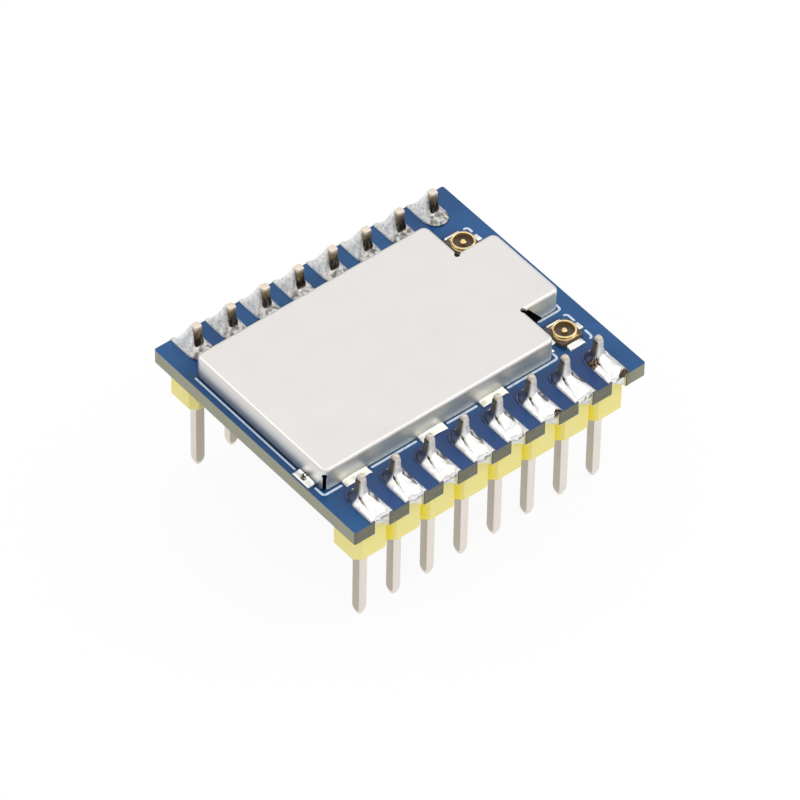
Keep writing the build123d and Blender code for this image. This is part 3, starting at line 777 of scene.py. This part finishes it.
# Shield can. Tinned steel sheet, smoothest on its flat top and duller where the press bent it.
# Its walls mirror the board, the pads and the floor. Its top, its walls and its left wall get
# their own tints of the one sheet, painted to how each face reads in its light, and the left
# wall darkens towards its foot in painted shade.
# The top, the walls and the left wall get their own tints of the one sheet, painted to how each face
# reads in its light.
sheet = (0.772, 0.745, 0.722)
sheet_dull = (0.747, 0.720, 0.697)
sheet_wall = (0.90, 0.885, 0.77)
sheet_left_wall = (0.84, 0.82, 0.78)
sheet_foot_shade = (0.23, 0.28, 0.31)
can_foot = can_low.z
can_top = can_high.z

paint = Paint("can_sheet", metallic=1.0)
here = paint.place()
x, z = here.axis("X"), here.axis("Z")
haze = paint.noise(0.5, 3.0)
fine = paint.noise(14.0)
on_top = z.ramp(can_top - 0.30, can_top - 0.17)
on_flat_top = z.ramp(can_top - 0.04, can_top - 0.01)
on_left_wall = x.ramp(can_low.x + 0.2, can_low.x + 0.1)
top_tone = paint.blend(haze.ramp(0.3, 0.8), sheet, sheet_dull)
# Painted shade: the left wall darkens towards its foot.
left_tone = paint.blend(z.ramp(can_top - 0.75, can_foot), sheet_left_wall, sheet_foot_shade)
wall_tone = paint.blend(on_left_wall, sheet_wall, left_tone)
can_paint = paint.feed(
    base_color=paint.blend(on_top, wall_tone, top_tone),
    roughness=0.45 - on_left_wall * 0.10 - on_flat_top * 0.17 + haze * 0.05 + fine * 0.03,
    normal=paint.bump(fine * 0.15 + paint.noise(0.9) * 0.6, 0.003),
)
dress(["shield_can"], can_paint)


# Solder of the can and the connectors. Flat bright pools on their pads, each swelling a little
# and drawn up where it meets the metal. A connector's pool is given by its way out from the
# middle and its half width.
def pool_points(centre, half_x, half_y, swell, climb_way, climb, seed):
    """A pool: rounded rectangles from the middle out over the top, and back underneath.

    Its height is a lens that stays full almost to the rim, plus a rise that dies away
    exponentially from the side that meets the metal.
    """
    squareness = 14
    climb_reach = 0.07
    thinnest = 0.008
    sunk = 0.01
    share = np.concatenate([[0], np.linspace(0.12, 1, 22)])
    form = rounded_square(squareness, 120)
    outline = form * (1 - 0.02 * ripples(seed, form[:, 0] * 0.7, form[:, 1] * 0.7, 0.5)[:, None])
    flat = share[:, None, None] * outline
    u, v = flat[..., 0] * half_x, flat[..., 1] * half_y
    rim = np.clip(1 - share[:, None] ** 7, 0, 1) ** 0.5
    to_metal = half_x - u * climb_way[0] if climb_way[0] else half_y - v * climb_way[1]
    rise = climb * np.exp(-np.maximum(to_metal, 0) / climb_reach)
    lens = rim * swell * (1 + 0.25 * ripples(seed + 1, u, v, 0.5))
    height = thinnest + lens + rise * (0.4 + 0.6 * rim)
    top = np.stack([centre[0] + u, centre[1] + v, land_top + height], -1)
    under = np.stack([centre[0] + u, centre[1] + v, np.full_like(u, land_top - sunk)], -1)
    return np.concatenate([top, under[::-1]])


can_swell, can_climb = 0.07, 0.16
coax_swell, coax_climb = 0.11, 0.06
coax_foot = 0.84
mask_lap = 0.22
can_pool_ways = {
    "near_1": (0, 1), "near_2": (0, 1), "near_3": (0, 1),
    "far_1": (0, -1), "far_2": (0, -1), "far_3": (0, -1),
    "left": (1, 0), "right": (-1, 0),
}
coax_pools = [(0, -1, 0.58), (0, 1, 0.58), (1, 0, 0.3), (-1, 0, 0.3)]

for seed, (name, way) in enumerate(can_pool_ways.items(), start=500):
    low, high = (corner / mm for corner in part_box(f"can_solder_{name}"))
    centre = ((low.x + high.x) / 2, (low.y + high.y) / 2)
    halves = ((high.x - low.x) / 2, (high.y - low.y) / 2)
    points = pool_points(centre, *halves, can_swell, way, can_climb, seed)
    piece(f"visible_can_solder_{name}", points, solder_paint, [f"can_solder_{name}"])

for side in sides:
    node = f"coax_solder_{side}"
    low, high = (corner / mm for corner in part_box(node))
    middle = ((low.x + high.x) / 2, (low.y + high.y) / 2)
    for number, (way_x, way_y, half_width) in enumerate(coax_pools):
        pad_end = (high.y - low.y) / 2 if way_y else (high.x - low.x) / 2
        pad_end -= mask_lap if way_y > 0 else 0
        offset = (coax_foot + pad_end) / 2
        half_depth = (pad_end - coax_foot) / 2
        centre = (middle[0] + way_x * offset, middle[1] + way_y * offset)
        halves = (half_width, half_depth) if way_y else (half_depth, half_width)
        points = pool_points(centre, *halves, coax_swell, (-way_x, -way_y), coax_climb, 600 + number)
        replaced = [node] if number == 0 else []
        piece(f"visible_{node}_{number}", points, solder_paint, replaced)


# Coax connectors. Gold over turned and stamped brass, brighter at the rim and browner lower
# down and in the hollow, on a dark moulded base.
gold = (0.90, 0.70, 0.36)
gold_brown = (0.62, 0.42, 0.19)
shell_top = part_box("coax_shell_near")[1].z / mm

paint = Paint("gold_plating", metallic=1.0)
tone = paint.noise(3.0)
depth = paint.place().axis("Z").ramp(shell_top - 0.05, shell_top - 0.4)
gold_paint = paint.feed(
    base_color=paint.blend(depth * 0.8 + tone * 0.2, gold, gold_brown),
    roughness=0.20 + tone * 0.15 + depth * 0.1,
    normal=paint.bump(paint.noise(12.0), 0.003),
)
dress([f"coax_{part}_{side}" for part in ("shell", "contact") for side in sides], gold_paint)


def mottled(name, first, second, clouds, grain, grain_depth, roughness, swing, **uniform):
    """A paint that wanders between two colours and dulls with them, over a fine grain."""
    paint = Paint(name, **uniform)
    tone = paint.noise(clouds)
    return paint.feed(
        base_color=paint.blend(tone, first, second),
        roughness=roughness + tone * swing,
        normal=paint.bump(paint.noise(grain), grain_depth),
    )


base_paint = mottled(
    "connector_base", (0.060, 0.045, 0.035), (0.11, 0.085, 0.07),
    clouds=4.0, grain=14.0, grain_depth=0.004, roughness=0.42, swing=0.15, specular_ior_level=0.5,
)
dress([f"coax_base_{side}" for side in sides], base_paint)


# Components under the can. Black moulded packages, a metal oscillator lid, pressed coil bodies
# and brown ceramic capacitors, each of them faintly mottled.
package_paint = mottled(
    "chip_package", (0.020, 0.020, 0.022), (0.040, 0.040, 0.042),
    clouds=4.0, grain=18.0, grain_depth=0.006, roughness=0.5, swing=0.2, specular_ior_level=0.4,
)
lid_paint = mottled(
    "oscillator_lid", (0.78, 0.76, 0.70), (0.64, 0.62, 0.57),
    clouds=3.0, grain=8.0, grain_depth=0.003, roughness=0.28, swing=0.15, metallic=1.0,
)
ceramic_paint = mottled(
    "capacitor_body", (0.47, 0.35, 0.24), (0.38, 0.27, 0.18),
    clouds=6.0, grain=20.0, grain_depth=0.003, roughness=0.4, swing=0.2, specular_ior_level=0.4,
)
dress(["transceiver_chip", "antenna_switch_near", "antenna_switch_far"], package_paint)
dress(["reference_oscillator"], lid_paint)
dress(["chip_capacitors"], ceramic_paint)

paint = Paint("coil_body", specular_ior_level=0.3)
powder = paint.noise(12.0, 3.0)
coil_paint = paint.feed(
    base_color=paint.blend(powder.ramp(0.3, 0.7), (0.09, 0.09, 0.10), (0.17, 0.17, 0.18)),
    roughness=0.6 + powder * 0.2,
    normal=paint.bump(powder, 0.008),
)
dress(["supply_coil", "chip_coils"], coil_paint)
